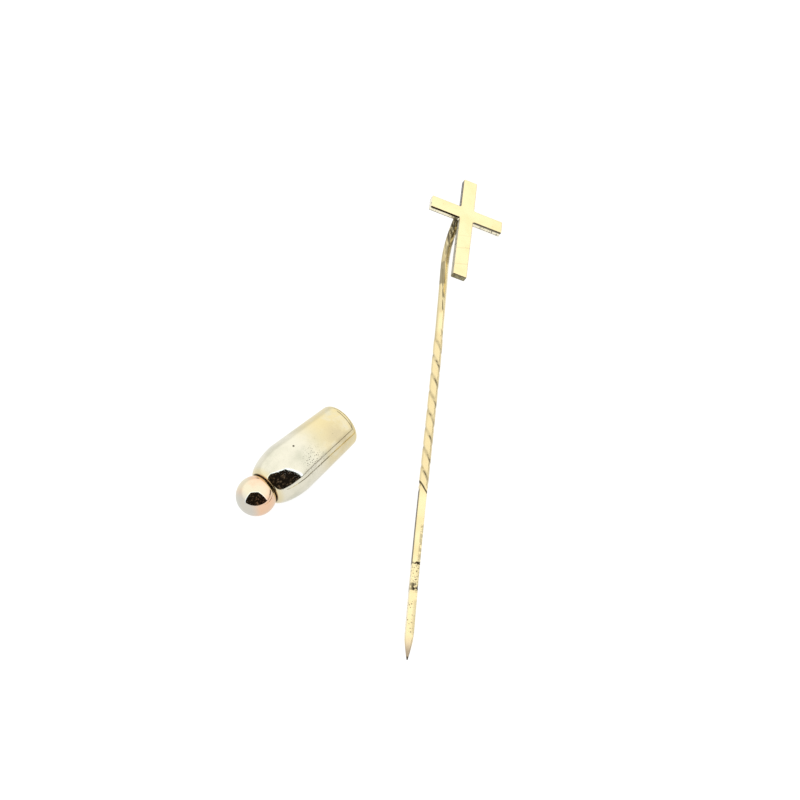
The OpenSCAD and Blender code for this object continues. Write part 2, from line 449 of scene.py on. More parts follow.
def turned(name, tone, roughness=0.28):
    """Machined metal with fine rings around the local axis."""
    material, tree, shader = new_material(name)
    rings = noise(tree, coordinates(tree, (8, 8, 0.12)), 3.0, 3.0)
    stain = noise(tree, coordinates(tree), 1.4, 4.0)
    dull = tuple(c * 0.72 for c in tone)
    colour = blended(tree, ramp(tree, stain, 0.4, 0.75), tone, dull)
    tree.links.new(colour, shader.inputs["Base Color"])
    rough = ramp(tree, rings, 0.3, 0.7, roughness * 0.7, roughness * 1.4)
    tree.links.new(rough, shader.inputs["Roughness"])
    tree.links.new(bumped(tree, rings, 0.4, 0.01), shader.inputs["Normal"])
    return material


# Faint lines left across the cross's face, as distance below the crossing and strength, and
# their slope and half width
FACE_LINES = [(2.9, 0.07), (4.5, 0.16), (6.6, 0.16)]
FACE_LINE_SLOPE = 0.33
FACE_LINE_HALF = 0.03


def face_tint(tree, coords, colour):
    """Faint lines across the cross's upright."""
    wobble = times(tree, math_node(tree, "SUBTRACT", noise(tree, coords, 1.3), 0.5), 0.3)
    x, y = split(tree, coords)[:2]
    height = math_node(tree, "ADD", y, wobble)
    height = math_node(tree, "SUBTRACT", height, times(tree, x, FACE_LINE_SLOPE))
    for below, strength in FACE_LINES:
        line = zone(tree, height, -below - FACE_LINE_HALF, -below + FACE_LINE_HALF, 0.06)
        line = times(tree, line, strength)
        colour = blended(tree, line, colour, MOSS)
    return colour


def sawn(name, half_bar, half_arm, foot, thick):
    """The cross's cut edges: bright where filed, dark specks, painted shade along the back edge and
    down the upright's left side, a painted reflection of the dark opening under the arms, dull
    under the foot.
    """
    material, tree, shader = new_material(name)
    coords = coordinates(tree)
    x, y, z = split(tree, coords)[:3]
    marks = noise(tree, coordinates(tree, (0.35, 0.35, 1.0)), 2.0, 5.0, 0.7)
    specks = ramp(tree, marks, 0.56, 0.6)
    # Painted shade along the back edge
    at_back = fading(tree, z, -thick + 0.1, -thick + 0.16)
    back_edge_shade = times(tree, at_back, ramp(tree, marks, 0.32, 0.42), 0.95)
    # Painted reflection of the dark opening under the arms, near the front face, a little stronger
    # on the left
    under_arm = zone(tree, y, -half_arm - 0.02, -half_arm + 0.06, 0.02)
    left_more = ramp(tree, x, -half_bar, half_bar, 1.0, 0.88)
    under_arm_reflection = times(tree, zone(tree, z, -0.23, -0.06, 0.02), under_arm, left_more)
    # Painted shade on the upright's left side faces, above and below the arms
    left = fading(tree, x, -half_bar + 0.02, -half_bar + 0.07)
    upper_left_shade = times(tree, left, ramp(tree, y, half_arm, half_arm + 0.1))
    lower_left_shade = times(tree, left, fading(tree, y, -half_arm - 0.2, -half_arm), 0.6)
    near_post = fading(tree, math_node(tree, "ABSOLUTE", x), half_bar, half_bar + 0.1)
    sides = times(tree, most(tree, upper_left_shade, lower_left_shade), near_post)
    sole = fading(tree, y, foot + 0.05, foot + 0.12)
    streaks = times(tree, sole, ramp(tree, marks, 0.36, 0.56, 0.7, 0.1))
    dark = most(tree, specks, back_edge_shade, under_arm_reflection, sides, streaks)
    colour = blended(tree, times(tree, sole, 0.95), FILED, SOLE)
    colour = blended(tree, dark, colour, DARK_TARNISH_AND_SHADE)
    tree.links.new(colour, shader.inputs["Base Color"])
    tree.links.new(ramp(tree, marks, 0.3, 0.7, 0.08, 0.3), shader.inputs["Roughness"])
    tree.links.new(bumped(tree, marks, 0.5, 0.03), shader.inputs["Normal"])
    return material


def swayed(tree, coords):
    """The wire's local X, Y and Z, with its slow sway taken out of X."""
    x, y, z = split(tree, coords)[:3]
    phase = times(tree, math_node(tree, "SUBTRACT", y, SWAY_START), 2 * math.pi / SWAY_LEN)
    x = math_node(tree, "ADD", x, times(tree, math_node(tree, "SINE", phase), SWAY))
    x = math_node(tree, "ADD", x, times(tree, math_node(tree, "COSINE", phase), SWAY_SIDE))
    return math_node(tree, "SUBTRACT", x, SWAY_SIDE), y, z


def crease(tree, coords):
    """Painted shade in the twist's two creases, stronger on the wire's right side, and a darker
    line across its top where the twist starts.
    """
    x, y, z = swayed(tree, coords)
    around = math_node(tree, "ARCTAN2", z, x)
    pitch = 2 * math.pi * TWIST_TURNS / TWIST_LEN
    turn = times(tree, math_node(tree, "SUBTRACT", y, TWIST_START), pitch)
    angle = math_node(tree, "SUBTRACT", around, turn)
    angle = math_node(tree, "SUBTRACT", angle, math.radians(CREASE_AT) - math.pi / 2)
    folded = math_node(tree, "FLOORED_MODULO", angle, math.pi)
    apart = math_node(tree, "ABSOLUTE", math_node(tree, "SUBTRACT", folded, math.pi / 2))
    patches = noise(tree, coordinates(tree, (4, 0.7, 4)), 0.9, 3.0, 0.7)
    faint = ramp(tree, patches, 0.35, 0.6, 0.26, 0.5)
    strong = ramp(tree, patches, 0.44, 0.58, 0.15, 0.95)
    # Painted shade in the creases: a broad soft band and a thin line, stronger towards the wire's
    # right side
    broad = times(tree, fading(tree, apart, 0.1, 0.75), faint)
    line = times(tree, fading(tree, apart, 0.06, 0.26), strong)
    lines = times(tree, most(tree, broad, line), ramp(tree, x, -0.3, 0.2, 0.7, 1.0))
    twisted = zone(tree, y, TWIST_START + 0.9, TWIST_START + TWIST_LEN + 0.4, 0.6)
    lines = times(tree, lines, twisted)
    slanted = math_node(tree, "ADD", y, times(tree, x, FIRST_SLOPE))
    first = zone(tree, slanted, TWIST_START + 0.05, TWIST_START + 0.2, 0.12)
    near = zone(tree, y, TWIST_START - 0.6, TWIST_START + 1.0, 0.2)
    first = times(tree, first, near, ramp(tree, z, 0.0, 0.1))
    return most(tree, lines, times(tree, first, 0.9))


# Worn stretches of the wire, and stretches with painted shade down its left side: start and end
# from the tip, and how softly they fade
NEAR_TIP = (2.6, 5.6, 0.4)
GRIPPED = (6.7, 9.7, 0.25)
FIRST_GOUGE = (6.8, 7.4, 0.15)
SECOND_GOUGE = (9.45, 9.65, 0.1)
RIGHT_EDGE = (9.8, 13.4, 0.3)
LEFT_SIDE_SHADE = (9.6, 17.4, 0.1)
OUTER_SIDE_SHADE = (35.2, 42.0, 0.8)
SHADED = (38.4, 42.0, 0.6)
SCRATCHED = (38.6, 43.6, 0.4)
PRESSED = (41.9, 44.6, 0.3)


def wire_tarnish_and_shade(tree, coords):
    """Tarnish and painted shade on the wire."""
    marks = (square_tarnish_and_shade, crease, bend_tarnish_and_shade)
    return most(tree, *(mark(tree, coords) for mark in marks))


def square_tarnish_and_shade(tree, coords):
    """The dark tip, the specks and gouges where clutches gripped, the right edge's tarnish and
    painted shade down the left side.
    """
    x, along = swayed(tree, coords)[:2]
    speckle = pits(tree, coords, 3.6, 0.32)
    torn = ramp(tree, noise(tree, coords, 2.6, 5.0, 0.7), 0.42, 0.49)
    rubbed = ramp(tree, x, 0.05, 0.3, 0.0, 0.25)
    nicks = most(tree, times(tree, speckle, 0.65), rubbed)
    near_tip = times(tree, zone(tree, along, *NEAR_TIP), nicks)
    fine = times(tree, pits(tree, coords, 6.0, 0.42), ramp(tree, x, -0.25, 0.05, 0.3, 1.0))
    worn = times(tree, zone(tree, along, *GRIPPED), most(tree, speckle, fine, rubbed), 0.75)
    gouges = most(tree, zone(tree, along, *FIRST_GOUGE), zone(tree, along, *SECOND_GOUGE))
    gouged = times(tree, gouges, torn, ramp(tree, x, -0.3, 0.05, 0.5, 1.0))
    edge = times(tree, zone(tree, along, *RIGHT_EDGE), ramp(tree, x, 0.1, 0.25), torn, 0.45)
    # Painted shade down the square wire's left side
    side = times(tree, zone(tree, along, *LEFT_SIDE_SHADE), fading(tree, x, -0.32, -0.24), 0.9)
    end = most(tree, fading(tree, along, 0.2, 0.5, 0.95), fading(tree, along, 0.5, 1.7, 0.42))
    return most(tree, near_tip, worn, gouged, edge, side, end)


def bend_tarnish_and_shade(tree, coords):
    """The pressed flat beside the bend, scratches and painted shade below it, and dark streaks
    above it that painted shade makes stronger on the right.
    """
    x, along = swayed(tree, coords)[:2]
    slanted = math_node(tree, "ADD", x, times(tree, along, 0.06))
    pressed = times(tree, zone(tree, along, *PRESSED), fading(tree, slanted, 2.66, 2.76), 0.62)
    grain = noise(tree, coordinates(tree, (0.3, 1.6, 0.3)), 1.5, 4.0, 0.65)
    scratch = times(tree, zone(tree, along, *SCRATCHED), zone(tree, slanted, 2.44, 2.52, 0.05))
    scratch = times(tree, scratch, 0.75, ramp(tree, grain, 0.36, 0.46))
    # Dark streaks towards the cross, made stronger on the wire's right side by painted shade
    upward = ramp(tree, along, SHANK_LEN - 0.2, SHANK_LEN + 4.0, 0.55, 0.95)
    streaks_and_shade = times(tree, ramp(tree, grain, 0.26, 0.56), upward)
    streaks_and_shade = times(tree, streaks_and_shade, ramp(tree, x, -0.2, 0.15, 0.65, 1.0))
    streaks_and_shade = times(tree, streaks_and_shade, ramp(tree, along, SHANK_LEN - 0.4, SHANK_LEN + 0.2))
    # Painted shade on the wire's left side and middle below the bend, and down its left side
    # further on
    shaded = times(tree, zone(tree, along, *SHADED), fading(tree, slanted, 2.3, 2.5), 0.2)
    outer = times(tree, zone(tree, along, *OUTER_SIDE_SHADE), fading(tree, x, -0.3, 0.0), 0.25)
    return most(tree, pressed, scratch, streaks_and_shade, shaded, outer)


def wire_tint(tree, coords, colour):
    """Deeper gold in the twist, and a pinkish point."""
    along = split(tree, coords)["Y"]
    twisted = times(tree, zone(tree, along, TWIST_START, TWIST_START + TWIST_LEN, 0.5), 0.7)
    colour = blended(tree, twisted, colour, WIRE_WARM)
    return blended(tree, fading(tree, along, 0.8, 2.6, 0.9), colour, POINT_PINK)


def seat_groove_shade(tree, coords):
    """Painted shade in the groove between the knob and the barrel."""
    x, y, z = split(tree, coords)[:3]
    flat = put(tree, "ShaderNodeCombineXYZ", {"X": x, "Y": y}).outputs[0]
    radius = put(tree, "ShaderNodeVectorMath", {0: flat}, operation="LENGTH").outputs["Value"]
    # Painted shade in the groove
    rise = ramp(tree, z, SEAT - 0.07, SEAT - 0.02)
    fall = fading(tree, z, SEAT - 0.01, SEAT + 0.05)
    return times(tree, rise, fall, fading(tree, radius, SEAT_R + 0.13, SEAT_R + 0.21))


# Marks on the barrel: where a dint, worn specks and a patch of painted shade are, in its own axes
BARREL_PIT = (0.13, 2.57, 5.02)
BARREL_SPECKLE = (-1.85, 1.72, 5.7)
BARREL_SHADE_PATCH = (-1.7, 1.5, 9.2)


def barrel_tarnish_and_shade(tree, coords):
    """The groove's painted shade, one dint, specks where the plate is worn, and a line round the
    nose.
    """
    dint = spot(tree, coords, BARREL_PIT, 0.06, 0.14)
    patch = spot(tree, coords, BARREL_SPECKLE, 0.2, 1.8)
    specks = times(tree, pits(tree, coords, 6.5, 0.36), patch, 0.85)
    bloom = ramp(tree, noise(tree, coords, 6.0, 6.0, 0.75), 0.6, 0.72, 0.0, 0.15)
    at = split(tree, coords)
    patches = ramp(tree, noise(tree, coords, 0.9), 0.4, 0.55, 0.3, 0.7)
    rim = times(tree, zone(tree, at["Z"], TAPER_END + 0.03, TAPER_END + 0.07, 0.04), patches)
    rim = times(tree, rim, zone(tree, at["X"], -1.7, 0.0, 0.4))
    return most(tree, seat_groove_shade(tree, coords), dint, specks, bloom, rim)


def barrel_tint(tree, coords, colour):
    """Yellower gold towards the nose and beside the knob, with one brownish patch of painted shade.
    """
    z = split(tree, coords)["Z"]
    cloud = noise(tree, coords, 0.6, 4.0, 0.6)
    nose = times(tree, ramp(tree, z, 5.2, 9.0), ramp(tree, cloud, 0.3, 0.55, 0.35, 1.0))
    # Painted shade: a brownish patch on the barrel near its nose
    shade_patch = spot(tree, coords, BARREL_SHADE_PATCH, 0.4, 2.4)
    shade_patch = times(tree, shade_patch, ramp(tree, cloud, 0.4, 0.6, 0.25, 0.7))
    collar = times(tree, fading(tree, z, 1.2, 1.8), 0.7)
    colour = blended(tree, most(tree, nose, collar), colour, NOSE_GOLD)
    return blended(tree, shade_patch, colour, PATCH_SHADE_BROWN)


def knob_tint(tree, coords, colour):
    """Painted shade as a deeper rose on the ball's low side, and plating worn pale where fingers
    pull.
    """
    x, y, z = split(tree, coords)[:3]
    # Painted shade: a deeper rose towards the ball's lower side
    low = math_node(tree, "SUBTRACT", times(tree, x, -0.8), times(tree, y, 0.6))
    colour = blended(tree, ramp(tree, low, -0.2, 1.4, 0.0, 0.85), colour, ROSE_DEEP)
    return blended(tree, fading(tree, z, -1.65, -0.9, 0.85), colour, ROSE_WORN)


# ---------------------------------------------------------------- pin


def make_cross():
    """The flat cross, its arrises softened and its cut edges rougher than its faces."""
    centre, size = cross_sizes()
    bar, upright, front = cross_axes()
    place = placed(centre, bar, upright, front)
    arm, post, span = size["half_arm"], size["half_bar"], size["half_span"]
    top, foot = size["rise"], -size["drop"]
    outline = [
        (post, foot), (post, -arm), (span, -arm), (span, arm), (post, arm), (post, top),
        (-post, top), (-post, arm), (-span, arm), (-span, -arm), (-post, -arm), (-post, foot),
    ]
    n = len(outline)
    verts = [(x, y, z) for z in (0, -size["thick"]) for x, y in outline]
    faces = [tuple(range(n)), tuple(range(2 * n - 1, n - 1, -1))]
    faces += [(i, (i + 1) % n, n + (i + 1) % n, n + i) for i in range(n)]
    obj = new_piece("cross_plate", verts, faces, place)
    soften_cross(obj.data)
    face = polished("yellow_gold_face", YELLOW, YELLOW_DEEP, 0.08, (6, 0.3, 6), tint=face_tint)
    obj.data.materials.append(face)
    obj.data.materials.append(sawn("yellow_gold_cut", post, arm, foot, size["thick"]))
    for polygon in obj.data.polygons:
        polygon.material_index = 0 if abs(polygon.normal.z) > 0.5 else 1
    shade(obj.data, 50)
    return obj


def soften_cross(mesh):
    """Rounds the plate's corners a little and its face edges less."""
    bm = bmesh.new()
    bm.from_mesh(mesh)
    upright = [e for e in bm.edges if abs((e.verts[0].co - e.verts[1].co).z) > 0.2 * MM]
    bevel(bm, upright, CROSS_CORNER, 4)
    rim = [e for e in bm.edges if e.calc_face_angle(0) > math.radians(60)]
    bevel(bm, rim, CROSS_EDGE, 3)
    bmesh.ops.recalc_face_normals(bm, faces=bm.faces)
    bm.to_mesh(mesh)
    bm.free()


def bevel(bm, edges, width, segments):
    """Rounds edges of a mesh by a width in millimetres."""
    settings = {"segments": segments, "profile": 0.5, "affect": "EDGES"}
    bmesh.ops.bevel(bm, geom=edges, offset=width * MM, **settings)


def square_section(half, edge, side_steps=9, corner_steps=4):
    """Points around a square with rounded corners, as unit-free (x, y)."""
    points = []
    for quarter in range(4):
        turn = quarter * math.pi / 2
        inner = half - edge
        local = [(half, -inner + 2 * inner * k / side_steps) for k in range(side_steps)]
        local += [
            (inner + edge * math.cos(a), inner + edge * math.sin(a))
            for a in (math.pi / 2 * k / corner_steps for k in range(corner_steps))
        ]
        c, s = math.cos(turn), math.sin(turn)
        points += [(x * c - y * s, x * s + y * c) for x, y in local]
    return np.array(points)


# Marks on the wire: distance from the tip, angle from the top towards the cross's
# right arm in degrees, half length, half width in degrees, depth
WIRE_MARKS = [
    (6.9, 10, 0.16, 38, 0.05),
    (7.15, 48, 0.20, 30, 0.06),
    (7.3, -30, 0.14, 26, 0.05),
    (9.55, 30, 0.12, 34, 0.05),
    (9.5, -42, 0.10, 24, 0.04),
    (8.4, 15, 0.22, 22, 0.02),
    (4.1, 42, 0.15, 26, 0.03),
    (4.9, 5, 0.13, 24, 0.02),
    (5.4, -20, 0.16, 28, 0.02),
    (3.2, 20, 0.18, 30, 0.02),
    (41.2, -35, 0.45, 12, 0.02),
    (40.4, 0, 0.5, 8, 0.02),
]

# The flat pressed beside the bend: where it starts and ends, its angle from the top, its depth
FLAT_START, FLAT_END, FLAT_ANGLE, FLAT_DEPTH = 42.0, 44.7, -52, 0.06

# Where the worn square wire ends and the marked round wire starts, both with closer rings
WORN_END = 10.2
MARKED_START = 39.7


def wire_ring(s, square):
    """One ring of the wire as (x, up) offsets, at a distance from the tip."""
    twist = (s - TWIST_START) / TWIST_LEN
    turn = math.radians(SQUARE_ROLL + 360 * TWIST_TURNS * min(max(twist, 0), 1))
    c, d = math.cos(turn), math.sin(turn)
    ring = square @ np.array(((c, d), (-d, c)))
    length = np.linalg.norm(ring, axis=1)
    unit = ring / length[:, None]
    twist_end = TWIST_START + TWIST_LEN
    roundness = float(smooth(s, twist_end - TWIST_FADE, twist_end + 0.1))
    length = length * (1 - roundness) + WIRE_R * roundness
    twisted = float(smooth(s, TWIST_START - 0.1, TWIST_START + 0.25)) * (1 - roundness)
    length = length * (1 - twisted) + creased(s, unit) * twisted
    corner = SQUARE_HALF * math.sqrt(2)
    limit = TIP_R + (corner - TIP_R) * min(s / POINT_LEN, 1) ** 0.85
    length = np.minimum(length, limit)
    angle = np.degrees(np.arctan2(unit[:, 0], unit[:, 1]))
    for at, middle, half_len, half_width, depth in WIRE_MARKS:
        apart = (angle - middle + 180) % 360 - 180
        near = float(1 - smooth(abs(s - at), 0, half_len))
        length -= depth * near * (1 - smooth(abs(apart), 0, half_width))
    length = np.minimum(length, flat_limit(s, angle))
    return unit * length[:, None]


def creased(s, unit):
    """The twisted wire's radius in each direction: round, with two opposite creases."""
    turn = 2 * math.pi * TWIST_TURNS * (s - TWIST_START) / TWIST_LEN
    around = np.arctan2(unit[:, 1], unit[:, 0]) - turn - math.radians(CREASE_AT)
    apart = np.abs((around + math.pi / 2) % math.pi - math.pi / 2)
    return TWIST_R - CREASE_DEPTH * (1 - smooth(apart, 0, CREASE_HALF))


def flat_limit(s, angle):
    """How far the wire reaches where it was pressed flat beside the bend."""
    rise = smooth(s, FLAT_START - 0.3, FLAT_START)
    depth = FLAT_DEPTH * float(rise * (1 - smooth(s, FLAT_END, FLAT_END + 0.4)))
    if depth <= 0:
        return 1.0
    facing = np.cos(np.radians(angle - FLAT_ANGLE))
    return np.where(facing > 0.3, (WIRE_R - depth) / np.maximum(facing, 0.3), 1.0)


def wire_stations():
    """Distances from the tip at which the wire gets a ring."""
    point = [POINT_LEN * (k / 24) ** 1.3 for k in range(25)]
    twist_end = TWIST_START + TWIST_LEN
    stretches = [
        (POINT_LEN + 0.06, WORN_END, 0.06),
        (WORN_END + 0.1, TWIST_START, 0.4),
        (TWIST_START, twist_end + 0.2, 0.11),
        (twist_end + 0.4, MARKED_START - 0.1, 0.3),
        (MARKED_START, SHANK_LEN, 0.08),
    ]
    return point + [s for stretch in stretches for s in np.arange(*stretch)] + [SHANK_LEN]


def sway(s):
    """How far the hand-bent shank strays sideways."""
    phase = 2 * math.pi * (s - SWAY_START) / SWAY_LEN
    return SWAY_SIDE * (1 - math.cos(phase)) - SWAY * math.sin(phase)


def make_wire():
    """The pin: a point, square wire, a twisted stretch, round wire and the bend up to the cross."""
    tip = mount("pin_point")[0]
    square = square_section(SQUARE_HALF, SQUARE_EDGE)
    rings = []
    for s in wire_stations():
        ring = wire_ring(s, square)
        rings.append([(x + sway(s), s, z) for x, z in ring])
    lean = math.radians(BEND_LEAN)
    inward = np.array((math.sin(lean), 0, math.cos(lean)))
    across = np.array((math.cos(lean), 0, -math.sin(lean)))
    for k in range(1, BEND_STEPS + 1):
        t = math.radians(BEND_TURN) * k / BEND_STEPS
        s = SHANK_LEN + BEND_R * t
        start = np.array((sway(SHANK_LEN), SHANK_LEN + BEND_R * math.sin(t), 0))
        centre = start + inward * BEND_R * (1 - math.cos(t))
        raised = inward * math.cos(t) - np.array((0, math.sin(t), 0))
        ring = wire_ring(s, square)
        flat = np.array([(x, 0, z) for x, z in ring])
        rings.append([centre + across * (p @ across) + raised * (p @ inward) for p in flat])
    place = Matrix.Translation(tip)
    obj = swept("pin_shank", rings, place)
    cut_at_cross(obj, place)
    metal = polished(
        "yellow_gold_wire", WIRE_GOLD, WIRE_DEEP, 0.12, (0.4, 5, 0.4), wire_tarnish_and_shade, wire_tint
    )
    obj.data.materials.append(metal)
    shade(obj.data, 40)
    return obj


def cut_at_cross(obj, place):
    """Ends the wire just inside the cross's back."""
    back, outward = mount("cross_back")
    local = place.inverted() @ (back - outward * 0.05 * MM)
    bm = bmesh.new()
    bm.from_mesh(obj.data)
    whole = bm.verts[:] + bm.edges[:] + bm.faces[:]
    bmesh.ops.bisect_plane(bm, geom=whole, plane_co=local, plane_no=outward, clear_inner=True)
    rim = [e for e in bm.edges if e.is_boundary]
    bmesh.ops.holes_fill(bm, edges=rim, sides=0)
    bmesh.ops.recalc_face_normals(bm, faces=bm.faces)
    bm.to_mesh(obj.data)
    bm.free()


def make_solder():
    """The mound of solder between the wire and the cross's back."""
    back, outward = mount("cross_back")
    points = points_of("solder_joint")
    depth = (points - np.array(back)) @ np.array(outward)
    centre = Vector(points[depth < 0.01 * MM].mean(axis=0))
    bar, upright = cross_axes()[:2]
    place = placed(centre, bar, -upright, outward)
    height = depth.max() / MM
    outline = [(-SOLDER_SINK, 0.0), (-SOLDER_SINK, SOLDER_R + 0.02)]
    for k in range(13):
        t = k / 12
        narrower = SOLDER_NARROWS * math.sin(t * math.pi / 2)
        outline.append((height * t ** 1.6, SOLDER_R - narrower))
    outline.append((height, 0.0))
    obj = revolved("solder_mound", outline, place, 64)
    rumple(obj.data, 0.035, 2.6)
    obj.data.materials.append(solder_metal())
    return obj


def rumple(mesh, depth, frequency):
    """Makes a surface uneven with a few crossed waves."""
    for v in mesh.vertices:
        x, y, z = (c / MM * frequency for c in v.co)
        wave = math.sin(x * 1.9 + 0.4) * math.sin(y * 2.3 + 1.1) + 0.5 * math.sin(3.1 * z + x - y)
        v.co.x *= 1 + depth * wave
        v.co.y *= 1 + depth * wave


def solder_metal():
    """Matt gold solder, flowed and slightly grainy."""
    material, tree, shader = new_material("gold_solder")
    coords = coordinates(tree)
    grain = noise(tree, coords, 5.0, 5.0)
    colour = blended(tree, ramp(tree, grain, 0.35, 0.7), SOLDER, SOLDER_DEEP)
    tree.links.new(colour, shader.inputs["Base Color"])
    tree.links.new(ramp(tree, grain, 0.3, 0.7, 0.28, 0.5), shader.inputs["Roughness"])
    tree.links.new(bumped(tree, grain, 0.5, 0.03), shader.inputs["Normal"])
    return material


# ---------------------------------------------------------------- clutch


def shoulder_points(inset, steps=28):
    """The barrel's shoulder from the knob's seat to the belly, as (along, out)."""
    points = []
    for i in range(steps + 1):
        a = math.pi / 2 * i / steps
        along = math.cos(a) ** (2 / SHOULDER_POWER) if i < steps else 0.0
        out = math.sin(a) ** (2 / SHOULDER_POWER)
        reach = BARREL_R - inset - SEAT_R
        points.append((BELLY - (BELLY - SEAT - inset) * along, SEAT_R + reach * out))
    return points


def nose_points(inset, end, steps=16):
    """The rounded nose from the taper's end to its flat face, as (along, out)."""
    radius = end - TAPER_END
    flat = NOSE_R - inset - radius
    turns = (math.pi / 2 * k / steps for k in range(steps + 1))
    return [(TAPER_END + radius * math.sin(a), flat + radius * math.cos(a)) for a in turns]


def make_barrel(place):
    """The drawn shell, its end spun in around the stem and its nose open for the bush."""
    outside = shoulder_points(0) + nose_points(0, NOSE_END)
    inside = shoulder_points(WALL) + nose_points(WALL, NOSE_END - NOSE_WALL)
    loop = [(s, r, 0) for s, r in outside]
    loop[0] = (*outside[0], 0.13)
    loop += [(NOSE_END, BUSH_R + 0.01, 0.03), (NOSE_END - NOSE_WALL, BUSH_R + 0.01, 0.02)]
    loop += [(s, r, 0) for s, r in reversed(inside)]
    loop[-1] = (*inside[0], 0.1)
    obj = revolved("barrel", filleted(loop), place, 128)
    metal = polished(
        "champagne_plate", PALE, PALE_GREY, 0.06, (3, 3, 0.5), barrel_tarnish_and_shade, barrel_tint
    )
    obj.data.materials.append(metal)
    return obj


def make_knob(place, radius):
    """The ball, bored for the stem and the pin's tip."""
    outline = []
    start = math.asin(STEM_R / radius)
    steps = 64
    for k in range(steps + 1):
        a = start + (math.pi - start) * k / steps
        outline.append((radius * math.cos(a), radius * math.sin(a) if k < steps else 0.0))
    outline += [(PIN_ROOM, 0.0), (PIN_ROOM, STEM_BORE_R)]
    outline += [(STEM_BACK, STEM_BORE_R), (STEM_BACK, STEM_R)]
    obj = revolved("knob", outline, place, 128)
    metal = polished("rose_gold_plate", ROSE, ROSE_DEEP, 0.05, (1, 1, 1), seat_groove_shade, knob_tint)
    obj.data.materials.append(metal)
    return obj


def make_stem(place):
    """The hollow stem that joins the knob to the cage."""
    loop = [
        (STEM_BACK, STEM_BORE_R, 0), (STEM_FRONT, STEM_BORE_R, 0.04),
        (STEM_FRONT, STEM_R, 0.06), (STEM_BACK, STEM_R, 0),
    ]
    obj = revolved("stem", filleted(loop), place, 64)
    obj.data.materials.append(polished("stem_plate", PALE, NOSE_GOLD, 0.14, (6, 6, 0.3)))
    return obj


def make_bush(place):
    """The flanged bush in the nose, funnelled for the pin."""
    flange_front = NOSE_END - NOSE_WALL
    flange_back = flange_front - FLANGE_T
    loop = [
        (BUSH_BACK, GUIDE_R, 0.04), (NOSE_END - FUNNEL, GUIDE_R, 0.12), (NOSE_END, FUNNEL_R, 0.03),
        (NOSE_END, BUSH_R, 0.03), (flange_front, BUSH_R, 0), (flange_front, FLANGE_R, 0.03),
        (flange_back, FLANGE_R, 0.03), (flange_back, BUSH_R, 0), (BUSH_BACK, BUSH_R, 0.04),
    ]
    obj = revolved("mouth_guide", filleted(loop), place, 96)
    obj.data.materials.append(polished("bush_plate", NOSE_GOLD, PALE, 0.16, (4, 4, 0.4)))
    return obj


def make_spring(place):
    """The coil spring, its end turns closed."""
    span = SPRING_FRONT - SPRING_BACK - SPRING_WIRE
    closed = SPRING_WIRE * 1.08
    pitch = (span - 2 * closed) / (SPRING_TURNS - 2)
    rings, steps, sides = [], 40, 14
    for i in range(SPRING_TURNS * steps + 1):
        t = i / steps
        if t < 1:
            rise = closed * t
        elif t > SPRING_TURNS - 1:
            rise = span - closed * (SPRING_TURNS - t)
        else:
            rise = closed + pitch * (t - 1)
        turn = 2 * math.pi * t
        middle = SPRING_BACK + SPRING_WIRE / 2 + rise
        ring = []
        for k in range(sides):
            a = 2 * math.pi * k / sides
            r = SPRING_R + SPRING_WIRE / 2 * math.cos(a)
            height = middle + SPRING_WIRE / 2 * math.sin(a)
            ring.append((r * math.cos(turn), r * math.sin(turn), height))
        rings.append(ring)
    obj = swept("coil", rings, place)
    obj.data.transform(obj.matrix_world)
    obj.matrix_world = Matrix.Identity(4)
    obj.data.materials.append(polished("spring_wire_steel", STEEL, STEEL_DEEP, 0.22))
    return obj


def dress_inner_nodes():
    """Gives the inner CAD pieces, whose shapes stay, their own metals."""
    metals = {
        "cone_sleeve": turned("sleeve_brass", BRASS),
        "spring_washer": turned("washer_brass", BRASS, 0.35),
        "end_collar": turned("collar_brass", BRASS, 0.3),
        "ball_cage": turned("cage_brass", BRASS, 0.25),
    }
    for k in (1, 2, 3):
        metals[f"locking_ball_{k}"] = polished(f"ball_steel_{k}", STEEL, STEEL_DEEP, 0.06)
    for node, metal in metals.items():
        mesh = frame["nodes"][node].data
        mesh.materials.clear()
        mesh.materials.append(metal)


# ---------------------------------------------------------------- light, floor and camera

# Corners of the tent's dark opening, as azimuth from +Y towards +X and elevation in degrees
OPENING = [(112, 0), (112, 10), (117, 70), (240, 61), (230, 6), (226, 0)]
RIM = 0.06
TENT = (1.22, 1.22, 1.2)
LOW_WALL = (1.0, 1.0, 0.98)
RIM_LIGHT = (1.7, 1.9, 2.2)
ROOM_DARK = (0.012, 0.009, 0.007)
ROOM_LIGHT = (0.17, 0.12, 0.085)
HORIZON = (0.12, 0.085, 0.045)

# The floor's colour and half width in metres, and its own glow, as the pieces mirror it and as
# the camera sees it
FLOOR_GREY = (0.28, 0.28, 0.28, 1)
FLOOR_HALF = 1.5
FLOOR_LIT = 0.76
FLOOR_SEEN = 0.9


def direction(azimuth, elevation):
    """A unit vector, with azimuth from +Y towards +X, both in degrees."""
    az, el = math.radians(azimuth), math.radians(elevation)
    return Vector((math.sin(az) * math.cos(el), math.cos(az) * math.cos(el), math.sin(el)))


def dot(tree, look, vector):
    """How far the looking direction goes along a vector."""
    inputs = {0: look, 1: tuple(vector)}
    return put(tree, "ShaderNodeVectorMath", inputs, operation="DOT_PRODUCT").outputs["Value"]


def opening_depth(tree, look):
    """How far inside the tent's opening the looking direction is, negative outside it."""
    corners = [direction(*corner) for corner in OPENING]
    inside = None
    for here, there in zip(corners, corners[1:] + corners[:1]):
        side = dot(tree, look, here.cross(there).normalized())
        inside = side if inside is None else math_node(tree, "MINIMUM", inside, side)
    return inside


